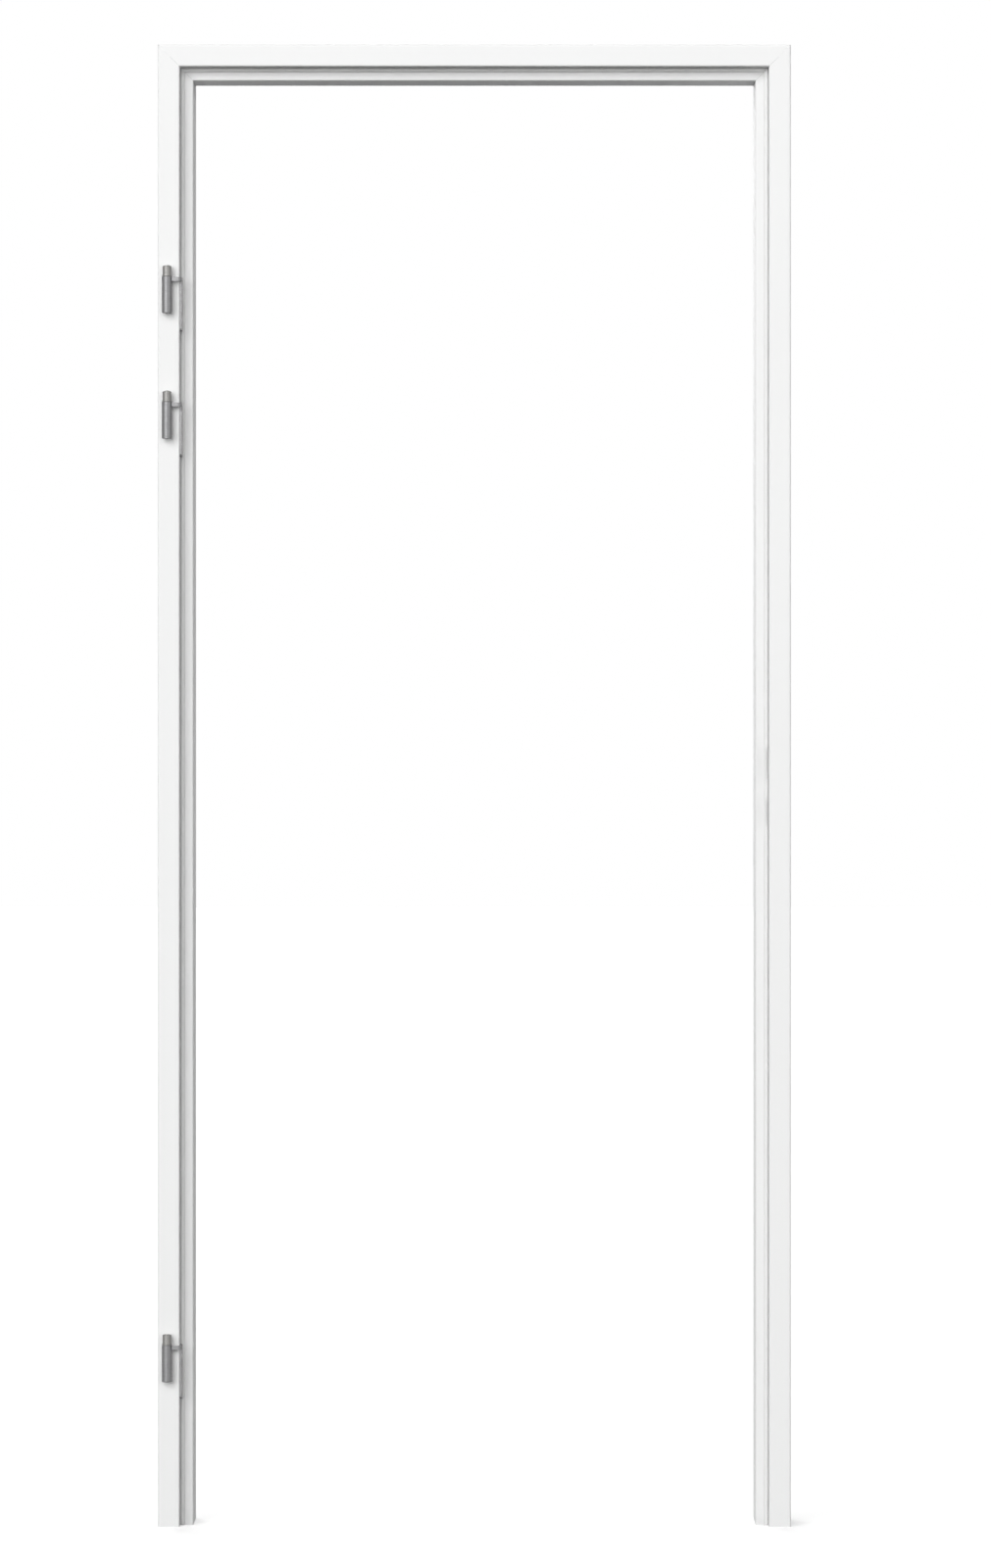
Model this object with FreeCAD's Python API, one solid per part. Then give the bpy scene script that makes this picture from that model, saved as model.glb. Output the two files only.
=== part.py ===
import FreeCAD, Part
import math
import os

# Steel door frame for a rebated door leaf, in millimetres.
# X runs across the doorway with the hinges at minus X, Y runs from the hinge face
# into the wall, Z is up. The origin is on the floor, in the middle of the overall box.

# Door opening
REBATE_WIDTH = 811.0
REBATE_HEIGHT = 2010.0

# Folded sheet profile, the same for both jambs and the head
SHEET = 1.5
BEND_RADIUS = 0.8
FACE_WIDTH = 30.0
LIP_LENGTH = 12.0
REBATE_DEPTH = 26.0
STOP_HEIGHT = 18.0
GROOVE_WIDTH = 4.5
GROOVE_DEPTH = 8.0
WALL_THICKNESS = 100.0
WALL_PLAY = 2.0
MITRE_GAP = 0.3

# Door seal, pushed into the groove of the stop
SEAL_PLAY = 0.25
SEAL_BULB_RADIUS = 3.1
SEAL_BULB_LIFT = 1.3
SEAL_HOLLOW_RADIUS = 1.3
SEAL_STEM_WIDTH = 1.8
SEAL_BARB_COUNT = 2
SEAL_BARB_RETURN = 0.7
SEAL_FOOT_GAP = 0.5

# Hinge halves on the hinge jamb
TOP_HINGE_DROP = 307.0
HINGE_PAIR_SPACING = 172.5
BOTTOM_HINGE_RISE = 233.5
HINGE_AXIS_OUT = 17.0
HINGE_AXIS_FRONT = 10.0
KNUCKLE_DIAMETER = 14.0
KNUCKLE_HEIGHT = 51.0
KNUCKLE_CHAMFER = 0.8
ARM_THICKNESS = 3.0
ARM_HEIGHT = 5.5
ARM_DROP = 1.2
ARM_BEND_RADIUS = 1.5
LEAF_HEIGHT = 74.0
LEAF_FRONT_SETBACK = 2.5
LEAF_CORNER_RADIUS = 4.0
LEAF_TO_SEAL = 1.0
PIN_DIAMETER = 8.0
PIN_SEAT_DEPTH = 38.0
PIN_TIP = 1.0
PIN_CHAMFER = 0.8
PIN_PLAY = 0.05
BUSH_DIAMETER = 12.0
BUSH_HEIGHT = 14.0
BUSH_FLANGE_DIAMETER = 13.4
BUSH_FLANGE = 1.4
BUSH_CHAMFER = 0.7

# Screws that clamp each hinge leaf through the rebate wall
HINGE_SCREW_DIAMETER = 5.0
HINGE_SCREW_HEAD_DIAMETER = 9.2
HINGE_SCREW_SPACING = 44.0
HINGE_SCREW_TIP = 1.0
HINGE_SCREW_SOCKET = 3.0
HINGE_SCREW_SOCKET_DEPTH = 1.8
SCREW_PLAY = 0.25
THREAD_PLAY = 0.05

# Reinforcement plate welded behind each hinge leaf
REINFORCEMENT = 5.0
REINFORCEMENT_HEIGHT = 84.0
REINFORCEMENT_MARGIN = 3.5

# Latch and bolt openings in the lock jamb, with the guard box behind them
LATCH_HEIGHT = 1050.0
LATCH_OPENING_HEIGHT = 44.0
BOLT_DROP = 66.0
BOLT_OPENING_HEIGHT = 36.0
STRIKE_OPENING_WIDTH = 15.0
STRIKE_CORNER_RADIUS = 2.0
GUARD_WALL = 1.2
GUARD_DEPTH = 15.0
GUARD_MARGIN = 9.0
GUARD_SIDE_ROOM = 1.0
GUARD_ROUND = 2.5

# Plates in the plane of the mitre, bolted together at both corners
CORNER_PLATE = 3.0
CORNER_PLATE_REACH = 16.0
CORNER_BOLT_DIAMETER = 6.0
CORNER_BOLT_OUT = 2.0
CORNER_BOLT_SPACING = 44.0
CORNER_BOLT_HEAD = 4.0
CORNER_BOLT_FLATS = 10.0
CORNER_BOLT_TIP = 2.0
CORNER_NUT_HEIGHT = 5.0
BOLT_PLAY = 0.3

# Wall ties, bridges of strip steel welded across the hollow of each jamb
TIE_STRIP = 2.0
TIE_WIDTH = 30.0
TIE_SEAT_OUT = 4.0
TIE_LEG_REACH = 18.0
TIE_BEND_RADIUS = 2.0
TIE_HOLE_DIAMETER = 8.5
LOWER_TIE_RISE = 420.0
UPPER_TIE_DROP = 160.0

# Foot brackets, one in each jamb
FOOT_PLATE = 3.0
FOOT_WIDTH = 60.0
FOOT_RISE = 50.0
FOOT_REACH = 22.0
FOOT_BEND_RADIUS = 3.0
FOOT_HOLE_DIAMETER = 9.0

# Sizes that follow from the ones above
FRAME_DEPTH = WALL_THICKNESS + WALL_PLAY + 2 * LIP_LENGTH
HINGE_PROJECTION = HINGE_AXIS_FRONT + KNUCKLE_DIAMETER / 2
FACE_Y = HINGE_PROJECTION - (FRAME_DEPTH + HINGE_PROJECTION) / 2
HOLLOW_SIDE_OF_STOP = SHEET - STOP_HEIGHT
GROOVE_BOTTOM = REBATE_DEPTH + GROOVE_DEPTH
GROOVE_BACK = GROOVE_BOTTOM + SHEET
BEHIND_REBATE = SHEET
MITRE_SHIFT = MITRE_GAP / math.sqrt(2)
SEAL_FRONT = REBATE_DEPTH - SEAL_PLAY - SEAL_BULB_LIFT - SEAL_BULB_RADIUS
BARREL_HEIGHT = KNUCKLE_HEIGHT + BUSH_HEIGHT + PIN_TIP
HINGE_CENTRES = {
    "top": REBATE_HEIGHT - TOP_HINGE_DROP,
    "middle": REBATE_HEIGHT - TOP_HINGE_DROP - HINGE_PAIR_SPACING,
    "bottom": BOTTOM_HINGE_RISE,
}
LEAF_BACK = SEAL_FRONT - LEAF_TO_SEAL
LEAF_MIDDLE = (LEAF_FRONT_SETBACK + LEAF_BACK) / 2
HOLLOW_MIDDLE = (GROOVE_BACK + FRAME_DEPTH - SHEET) / 2


# A member's own coordinates: out is measured from the rebate wall away from the
# doorway, back is measured from the hinge face into the wall, and along runs up a
# jamb or across the head.
def hinge_side(out, back, along):
    return FreeCAD.Vector(-REBATE_WIDTH / 2 - out, FACE_Y + back, along)


def lock_side(out, back, along):
    return FreeCAD.Vector(REBATE_WIDTH / 2 + out, FACE_Y + back, along)


def head_side(out, back, along):
    return FreeCAD.Vector(along, FACE_Y + back, REBATE_HEIGHT + out)


SIDES = {"hinge": hinge_side, "lock": lock_side}


def unit(vector):
    return vector * (1.0 / vector.Length)


def strip_outline(path, thickness, inside_radius):
    """Corners and bends of a folded strip: two lists of (start, bend middle, end) per side."""
    bend = inside_radius + thickness / 2
    points = [FreeCAD.Vector(a, b, 0) for a, b in path]
    left_of = lambda direction: FreeCAD.Vector(-direction.y, direction.x, 0)
    sides = {1: [], -1: []}
    first = unit(points[1] - points[0])
    last = unit(points[-1] - points[-2])
    for side in sides:
        sides[side].append([points[0] + left_of(first) * (side * thickness / 2)])
    for before, corner, after in zip(points, points[1:], points[2:]):
        arriving = unit(corner - before)
        leaving = unit(after - corner)
        turn = math.copysign(1, arriving.cross(leaving).z)
        setback = bend * math.tan(arriving.getAngle(leaving) / 2)
        start = corner - arriving * setback
        end = corner + leaving * setback
        centre = start + left_of(arriving) * (turn * bend)
        outward = unit(corner - centre)
        for side in sides:
            offset = side * thickness / 2
            sides[side].append([
                start + left_of(arriving) * offset,
                centre + outward * (bend - turn * offset),
                end + left_of(leaving) * offset,
            ])
    for side in sides:
        sides[side].append([points[-1] + left_of(last) * (side * thickness / 2)])
    return sides


def chain_edges(stations, place, along):
    """Straight runs between the bends of one side of a strip, and the bends as arcs."""
    at = lambda point: place(point.x, point.y, along)
    edges = []
    for current, following in zip(stations, stations[1:]):
        if len(current) == 3:
            edges.append(Part.Arc(at(current[0]), at(current[1]), at(current[2])).toShape())
        edges.append(Part.makeLine(at(current[-1]), at(following[0])))
    return edges


def folded_strip(path, thickness, inside_radius, place, start, end):
    """A strip folded along a path of middle lines, drawn out from one station to another."""
    sides = strip_outline(path, thickness, inside_radius)
    edges = chain_edges(sides[1], place, start) + chain_edges(sides[-1], place, start)
    for index in (0, -1):
        ends = [sides[side][index][0] for side in (1, -1)]
        edges.append(Part.makeLine(*[place(point.x, point.y, start) for point in ends]))
    face = Part.Face(Part.Wire(Part.__sortEdges__(edges)))
    return face.extrude(place(0, 0, end) - place(0, 0, start))


def block(place, out, back, along):
    """A box between two corners, given as ranges in a member's coordinates."""
    low = place(out[0], back[0], along[0])
    high = place(out[1], back[1], along[1])
    corner = FreeCAD.Vector(min(low.x, high.x), min(low.y, high.y), min(low.z, high.z))
    return Part.makeBox(abs(high.x - low.x), abs(high.y - low.y), abs(high.z - low.z), corner)


def rod(start, end, radius):
    """A cylinder from one point to another."""
    return Part.makeCylinder(radius, (end - start).Length, start, end - start)


def hexagon_rod(start, end, across_flats):
    """A hexagonal bar from one point to another."""
    corner = across_flats / math.sqrt(3)
    angles = [math.radians(60 * step) for step in range(7)]
    ring = Part.makePolygon([FreeCAD.Vector(corner * math.cos(a), corner * math.sin(a), 0) for a in angles])
    bar = Part.Face(ring).extrude(FreeCAD.Vector(0, 0, (end - start).Length))
    bar.Placement = FreeCAD.Placement(start, FreeCAD.Rotation(FreeCAD.Vector(0, 0, 1), end - start))
    return bar


def plate_outline(points, thickness_vector):
    """A flat plate from its corner points and the vector through its thickness."""
    return Part.Face(Part.makePolygon(points + points[:1])).extrude(thickness_vector)


def edges_along(shape, direction):
    """The straight edges of a shape that run along a direction."""
    found = []
    for edge in shape.Edges:
        if edge.Curve.TypeId == "Part::GeomLine" and edge.Curve.Direction.cross(direction).Length < 1e-6:
            found.append(edge)
    return found


def profile_path():
    """Middle line of the folded profile, from the front lip round the stop to the back lip."""
    half = SHEET / 2
    outer = FACE_WIDTH - half
    groove_wall = -GROOVE_WIDTH - half
    soffit = -STOP_HEIGHT + half
    return [
        (outer, LIP_LENGTH),
        (outer, half),
        (half, half),
        (half, GROOVE_BOTTOM + half),
        (groove_wall, GROOVE_BOTTOM + half),
        (groove_wall, REBATE_DEPTH + half),
        (soffit, REBATE_DEPTH + half),
        (soffit, FRAME_DEPTH - half),
        (outer, FRAME_DEPTH - half),
        (outer, FRAME_DEPTH - LIP_LENGTH),
    ]


def below_mitre(place):
    """Everything on a jamb's side of the mitre plane."""
    reach = 2 * FACE_WIDTH
    corners = [
        (-reach, -reach),
        (reach, -reach),
        (reach, REBATE_HEIGHT + reach - MITRE_SHIFT),
        (-reach, REBATE_HEIGHT - reach - MITRE_SHIFT),
    ]
    points = [place(out, -reach, along) for out, along in corners]
    return plate_outline(points, FreeCAD.Vector(0, FRAME_DEPTH + 2 * reach, 0))


def above_mitres():
    """Everything on the head's side of both mitre planes."""
    reach = 2 * FACE_WIDTH
    half = REBATE_WIDTH / 2
    corners = [
        (-half - reach, reach + MITRE_SHIFT),
        (-half + reach, -reach + MITRE_SHIFT),
        (half - reach, -reach + MITRE_SHIFT),
        (half + reach, reach + MITRE_SHIFT),
    ]
    points = [head_side(out, -reach, along) for along, out in corners]
    return plate_outline(points, FreeCAD.Vector(0, FRAME_DEPTH + 2 * reach, 0))


def jamb_profile(place):
    top = REBATE_HEIGHT + FACE_WIDTH
    strip = folded_strip(profile_path(), SHEET, BEND_RADIUS, place, 0, top)
    return strip.common(below_mitre(place))


def head():
    half = REBATE_WIDTH / 2 + FACE_WIDTH
    strip = folded_strip(profile_path(), SHEET, BEND_RADIUS, head_side, -half, half)
    return strip.common(above_mitres())


def leaf_span(centre):
    """Bottom and top of a hinge leaf, which hangs down from the arm."""
    top = centre - BARREL_HEIGHT / 2 + KNUCKLE_HEIGHT - ARM_DROP
    return top - LEAF_HEIGHT, top


def hinge_screw_heights(centre):
    middle = sum(leaf_span(centre)) / 2
    return [middle - HINGE_SCREW_SPACING / 2, middle + HINGE_SCREW_SPACING / 2]


def hinge_jamb():
    """The jamb with a hole in the rebate wall for each hinge screw."""
    jamb = jamb_profile(hinge_side)
    radius = HINGE_SCREW_DIAMETER / 2 + SCREW_PLAY
    for centre in HINGE_CENTRES.values():
        for height in hinge_screw_heights(centre):
            start = hinge_side(-SHEET, LEAF_MIDDLE, height)
            end = hinge_side(2 * SHEET, LEAF_MIDDLE, height)
            jamb = jamb.cut(rod(start, end, radius))
    return jamb


def strike_openings():
    """Middle height and tallness of the latch opening and the bolt opening."""
    return [
        (LATCH_HEIGHT, LATCH_OPENING_HEIGHT),
        (LATCH_HEIGHT - BOLT_DROP, BOLT_OPENING_HEIGHT),
    ]


def lock_jamb():
    """The jamb with the latch and bolt openings punched through its rebate wall."""
    jamb = jamb_profile(lock_side)
    middle = REBATE_DEPTH / 2
    across = (middle - STRIKE_OPENING_WIDTH / 2, middle + STRIKE_OPENING_WIDTH / 2)
    for height, tallness in strike_openings():
        span = (height - tallness / 2, height + tallness / 2)
        punch = block(lock_side, (-SHEET, 2 * SHEET), across, span)
        punch = punch.makeFillet(STRIKE_CORNER_RADIUS, edges_along(punch, FreeCAD.Vector(1, 0, 0)))
        jamb = jamb.cut(punch)
    return jamb


def guard_box():
    """Open box behind the latch and bolt openings, which keeps the hollow's fill out."""
    heights = [(height - tallness / 2, height + tallness / 2) for height, tallness in strike_openings()]
    low = min(span[0] for span in heights) - GUARD_MARGIN
    high = max(span[1] for span in heights) + GUARD_MARGIN
    outer_out = (BEHIND_REBATE, BEHIND_REBATE + GUARD_DEPTH + GUARD_WALL)
    middle = REBATE_DEPTH / 2
    half = STRIKE_OPENING_WIDTH / 2 + GUARD_SIDE_ROOM + GUARD_WALL
    shell = block(lock_side, outer_out, (middle - half, middle + half), (low, high))
    shell = shell.makeFillet(GUARD_ROUND, edges_along(shell, FreeCAD.Vector(1, 0, 0)))
    inner_half = half - GUARD_WALL
    inner_out = (BEHIND_REBATE, BEHIND_REBATE + GUARD_DEPTH)
    inner_along = (low + GUARD_WALL, high - GUARD_WALL)
    hollow = block(lock_side, inner_out, (middle - inner_half, middle + inner_half), inner_along)
    hollow = hollow.makeFillet(GUARD_ROUND - GUARD_WALL, edges_along(hollow, FreeCAD.Vector(1, 0, 0)))
    return shell.cut(hollow)


def seal_section(place, along):
    """Hollow bulb over the groove's mouth, with a barbed stem that grips in the groove."""
    at = lambda out, back: place(out, back, along)
    groove_middle = -GROOVE_WIDTH / 2
    base = REBATE_DEPTH - SEAL_PLAY
    bulb_middle = -SEAL_PLAY - SEAL_BULB_RADIUS
    half_base = math.sqrt(SEAL_BULB_RADIUS ** 2 - SEAL_BULB_LIFT ** 2)
    near = bulb_middle + half_base
    far = bulb_middle - half_base
    crown = at(bulb_middle, SEAL_FRONT)
    stem = SEAL_STEM_WIDTH / 2
    barb = GROOVE_WIDTH / 2 - SEAL_PLAY
    stem_length = GROOVE_BOTTOM - SEAL_FOOT_GAP - base
    pitch = stem_length / (SEAL_BARB_COUNT + 1)
    right = [(groove_middle + stem, base)]
    for step in range(1, SEAL_BARB_COUNT + 1):
        right.append((groove_middle + barb, base + step * pitch))
        right.append((groove_middle + stem, base + (step + SEAL_BARB_RETURN) * pitch))
    right.append((groove_middle + stem / 2, base + stem_length))
    left = [(2 * groove_middle - out, back) for out, back in reversed(right)]
    outline = [(near, base)] + right + left + [(far, base)]
    points = [at(out, back) for out, back in outline]
    edges = [Part.makeLine(first, second) for first, second in zip(points, points[1:])]
    edges.append(Part.Arc(points[-1], crown, points[0]).toShape())
    hollow_centre = at(bulb_middle, (base + SEAL_FRONT) / 2)
    hollow = Part.makeCircle(SEAL_HOLLOW_RADIUS, hollow_centre, place(0, 0, 1) - place(0, 0, 0))
    return Part.Face([Part.Wire(edges), Part.Wire(hollow)], "Part::FaceMakerCheese")


def jamb_seal(place):
    length = place(0, 0, REBATE_HEIGHT) - place(0, 0, SEAL_PLAY)
    return seal_section(place, SEAL_PLAY).extrude(length).common(below_mitre(place))


def head_seal():
    half = REBATE_WIDTH / 2
    length = head_side(0, 0, half) - head_side(0, 0, -half)
    return seal_section(head_side, -half).extrude(length).common(above_mitres())


def hinge_levels(centre):
    """Bottom and top of the knuckle, and the middle height of the arm."""
    bottom = centre - BARREL_HEIGHT / 2
    top = bottom + KNUCKLE_HEIGHT
    return bottom, top, top - ARM_DROP - ARM_HEIGHT / 2


def countersink(height):
    """Tapered screw head, from the leaf's surface down to the shank."""
    head_radius = HINGE_SCREW_HEAD_DIAMETER / 2
    shank_radius = HINGE_SCREW_DIAMETER / 2
    surface = hinge_side(-ARM_THICKNESS, LEAF_MIDDLE, height)
    inward = hinge_side(1, 0, 0) - hinge_side(0, 0, 0)
    return Part.makeCone(head_radius, shank_radius, head_radius - shank_radius, surface, inward)


def hinge_leaf(centre):
    """Knuckle, arm round the rebate edge and screwed-on leaf, made as one piece."""
    bottom, top, arm_middle = hinge_levels(centre)
    axis = lambda height: hinge_side(HINGE_AXIS_OUT, -HINGE_AXIS_FRONT, height)
    knuckle = rod(axis(bottom), axis(top), KNUCKLE_DIAMETER / 2)
    rims = [edge for edge in knuckle.Edges if edge.Curve.TypeId == "Part::GeomCircle"]
    knuckle = knuckle.makeChamfer(KNUCKLE_CHAMFER, rims)
    arm_path = [
        (HINGE_AXIS_OUT, -HINGE_AXIS_FRONT),
        (-ARM_THICKNESS / 2, -HINGE_AXIS_FRONT),
        (-ARM_THICKNESS / 2, LEAF_BACK - LEAF_CORNER_RADIUS),
    ]
    arm_span = (arm_middle - ARM_HEIGHT / 2, arm_middle + ARM_HEIGHT / 2)
    arm = folded_strip(arm_path, ARM_THICKNESS, ARM_BEND_RADIUS, hinge_side, *arm_span)
    leaf = block(hinge_side, (-ARM_THICKNESS, 0), (LEAF_FRONT_SETBACK, LEAF_BACK), leaf_span(centre))
    leaf = leaf.makeFillet(LEAF_CORNER_RADIUS, edges_along(leaf, FreeCAD.Vector(1, 0, 0)))
    piece = knuckle.fuse([arm, leaf]).removeSplitter()
    for height in hinge_screw_heights(centre):
        surface = hinge_side(-ARM_THICKNESS, LEAF_MIDDLE, height)
        wall = hinge_side(0, LEAF_MIDDLE, height)
        piece = piece.cut(countersink(height))
        piece = piece.cut(rod(surface, wall, HINGE_SCREW_DIAMETER / 2 + SCREW_PLAY))
    bore = rod(axis(top - PIN_SEAT_DEPTH), axis(top), PIN_DIAMETER / 2 + PIN_PLAY)
    return piece.cut(bore)


def hinge_pin(centre):
    """Pin seated in the knuckle's blind bore, standing up for the door's hinge half."""
    top = hinge_levels(centre)[1]
    axis = lambda height: hinge_side(HINGE_AXIS_OUT, -HINGE_AXIS_FRONT, height)
    pin = rod(axis(top - PIN_SEAT_DEPTH), axis(top + BUSH_HEIGHT + PIN_TIP), PIN_DIAMETER / 2)
    rims = [edge for edge in pin.Edges if edge.Curve.TypeId == "Part::GeomCircle"]
    return pin.makeChamfer(PIN_CHAMFER, rims)


def hinge_bush(centre):
    """Flanged bearing bush that sits over the pin, its flange on the knuckle."""
    top = hinge_levels(centre)[1]
    axis = lambda height: hinge_side(HINGE_AXIS_OUT, -HINGE_AXIS_FRONT, height)
    sleeve = rod(axis(top), axis(top + BUSH_HEIGHT), BUSH_DIAMETER / 2)
    rim = max(sleeve.Edges, key=lambda edge: edge.BoundBox.ZMin)
    sleeve = sleeve.makeChamfer(BUSH_CHAMFER, [rim])
    flange = rod(axis(top), axis(top + BUSH_FLANGE), BUSH_FLANGE_DIAMETER / 2)
    bore = rod(axis(top), axis(top + BUSH_HEIGHT), PIN_DIAMETER / 2 + PIN_PLAY)
    return sleeve.fuse(flange).cut(bore)


def hinge_screws(centre):
    """Two countersunk screws with hexagon sockets."""
    screws = []
    for height in hinge_screw_heights(centre):
        surface = hinge_side(-ARM_THICKNESS, LEAF_MIDDLE, height)
        tip = hinge_side(BEHIND_REBATE + REINFORCEMENT + HINGE_SCREW_TIP, LEAF_MIDDLE, height)
        shank = rod(surface, tip, HINGE_SCREW_DIAMETER / 2)
        socket_end = hinge_side(-ARM_THICKNESS + HINGE_SCREW_SOCKET_DEPTH, LEAF_MIDDLE, height)
        socket = hexagon_rod(surface, socket_end, HINGE_SCREW_SOCKET)
        screws.append(countersink(height).fuse(shank).removeSplitter().cut(socket))
    return Part.makeCompound(screws)


def reinforcement_span(centre):
    """Bottom and top of the plate behind a hinge leaf."""
    middle = sum(leaf_span(centre)) / 2
    return middle - REINFORCEMENT_HEIGHT / 2, middle + REINFORCEMENT_HEIGHT / 2


def hinge_reinforcement(centre):
    """Threaded plate on the hollow side of the rebate wall."""
    across = (REINFORCEMENT_MARGIN, 2 * LEAF_MIDDLE - REINFORCEMENT_MARGIN)
    depth = (BEHIND_REBATE, BEHIND_REBATE + REINFORCEMENT)
    plate = block(hinge_side, depth, across, reinforcement_span(centre))
    for height in hinge_screw_heights(centre):
        start = hinge_side(BEHIND_REBATE, LEAF_MIDDLE, height)
        end = hinge_side(BEHIND_REBATE + REINFORCEMENT, LEAF_MIDDLE, height)
        plate = plate.cut(rod(start, end, HINGE_SCREW_DIAMETER / 2 + THREAD_PLAY))
    return plate


def corner_bolt_backs():
    return [HOLLOW_MIDDLE - CORNER_BOLT_SPACING / 2, HOLLOW_MIDDLE + CORNER_BOLT_SPACING / 2]


def corner_axis(place, back):
    """Point where a corner bolt crosses the mitre plane, and its direction towards the jamb."""
    crossing = place(CORNER_BOLT_OUT, back, REBATE_HEIGHT + CORNER_BOLT_OUT)
    towards_jamb = unit(place(1, 0, 0) - place(0, 0, 1))
    return crossing, towards_jamb


def with_bolt_holes(plate, place):
    radius = CORNER_BOLT_DIAMETER / 2 + BOLT_PLAY
    reach = 3 * CORNER_PLATE
    for back in corner_bolt_backs():
        crossing, towards_jamb = corner_axis(place, back)
        plate = plate.cut(rod(crossing - towards_jamb * reach, crossing + towards_jamb * reach, radius))
    return plate


def corner_plate_corners():
    """Ends of a corner plate along the mitre, and its two distances from the mitre plane."""
    near = MITRE_SHIFT
    far = near + CORNER_PLATE * math.sqrt(2)
    return HOLLOW_SIDE_OF_STOP, CORNER_PLATE_REACH, near, far


def corner_plate_depth():
    """Vector along the depth of a corner plate, clear of the bend at the back face."""
    return FreeCAD.Vector(0, FRAME_DEPTH - SHEET - BEND_RADIUS - GROOVE_BACK, 0)


def jamb_corner_plate(place):
    """Plate welded across the jamb's mitred end, between the stop and the back face."""
    low, high, near, far = corner_plate_corners()
    corners = [(low, low - near), (high, high - near), (high, high - far), (low, low - far)]
    points = [place(out, GROOVE_BACK, REBATE_HEIGHT + along) for out, along in corners]
    plate = plate_outline(points, corner_plate_depth())
    return with_bolt_holes(plate, place)


def head_corner_plate(place):
    """Plate welded across the head's mitred end, facing the jamb's plate."""
    low, high, near, far = corner_plate_corners()
    corners = [(low - near, low), (high - near, high), (high - far, high), (low - far, low)]
    points = [place(out, GROOVE_BACK, REBATE_HEIGHT + along) for out, along in corners]
    plate = plate_outline(points, corner_plate_depth())
    return with_bolt_holes(plate, place)


def corner_bolts(place):
    """Hexagon bolts across the mitre, heads on the jamb's side."""
    seat = MITRE_GAP / 2 + CORNER_PLATE
    bolts = []
    for back in corner_bolt_backs():
        crossing, towards_jamb = corner_axis(place, back)
        under_head = crossing + towards_jamb * seat
        tip = crossing - towards_jamb * (seat + CORNER_NUT_HEIGHT + CORNER_BOLT_TIP)
        shank = rod(tip, under_head, CORNER_BOLT_DIAMETER / 2)
        cap = hexagon_rod(under_head, under_head + towards_jamb * CORNER_BOLT_HEAD, CORNER_BOLT_FLATS)
        bolts.append(cap.fuse(shank))
    return Part.makeCompound(bolts)


def corner_nuts(place):
    """Hexagon nuts on the head's side of the mitre."""
    seat = MITRE_GAP / 2 + CORNER_PLATE
    nuts = []
    for back in corner_bolt_backs():
        crossing, towards_jamb = corner_axis(place, back)
        inner = crossing - towards_jamb * seat
        outer = inner - towards_jamb * CORNER_NUT_HEIGHT
        nut = hexagon_rod(inner, outer, CORNER_BOLT_FLATS)
        nuts.append(nut.cut(rod(inner, outer, CORNER_BOLT_DIAMETER / 2 + THREAD_PLAY)))
    return Part.makeCompound(nuts)


def tie_heights():
    """Heights of the wall ties. The middle one lies halfway between the guard box and the hinges."""
    guard_top = LATCH_HEIGHT + LATCH_OPENING_HEIGHT / 2 + GUARD_MARGIN
    hinge_plate_bottom = reinforcement_span(HINGE_CENTRES["middle"])[0]
    return {
        "lower": LOWER_TIE_RISE,
        "middle": (guard_top + hinge_plate_bottom) / 2,
        "upper": REBATE_HEIGHT - UPPER_TIE_DROP,
    }


def wall_tie(place, height):
    """Bridge of strip steel from the front face to the back face, with a fixing hole."""
    web = TIE_SEAT_OUT + TIE_STRIP / 2
    front = SHEET + TIE_STRIP / 2
    back = FRAME_DEPTH - SHEET - TIE_STRIP / 2
    end = TIE_SEAT_OUT + TIE_LEG_REACH
    path = [(end, front), (web, front), (web, back), (end, back)]
    span = (height - TIE_WIDTH / 2, height + TIE_WIDTH / 2)
    tie = folded_strip(path, TIE_STRIP, TIE_BEND_RADIUS, place, *span)
    middle = FRAME_DEPTH / 2
    hole_start = place(TIE_SEAT_OUT, middle, height)
    hole_end = place(TIE_SEAT_OUT + TIE_STRIP, middle, height)
    return tie.cut(rod(hole_start, hole_end, TIE_HOLE_DIAMETER / 2))


def foot_bracket(place):
    """Angle inside the jamb's foot, with one leg on the floor and one on the stop."""
    upright = lambda out, along, back: place(out, back, along)
    wall_leg = HOLLOW_SIDE_OF_STOP + FOOT_PLATE / 2
    floor_leg = FOOT_PLATE / 2
    path = [(wall_leg, FOOT_RISE), (wall_leg, floor_leg), (FOOT_REACH, floor_leg)]
    span = (HOLLOW_MIDDLE - FOOT_WIDTH / 2, HOLLOW_MIDDLE + FOOT_WIDTH / 2)
    bracket = folded_strip(path, FOOT_PLATE, FOOT_BEND_RADIUS, upright, *span)
    hole_out = (HOLLOW_SIDE_OF_STOP + FOOT_PLATE + FOOT_REACH) / 2
    underside = place(hole_out, HOLLOW_MIDDLE, 0)
    upper_side = place(hole_out, HOLLOW_MIDDLE, FOOT_PLATE)
    return bracket.cut(rod(underside, upper_side, FOOT_HOLE_DIAMETER / 2))


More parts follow.
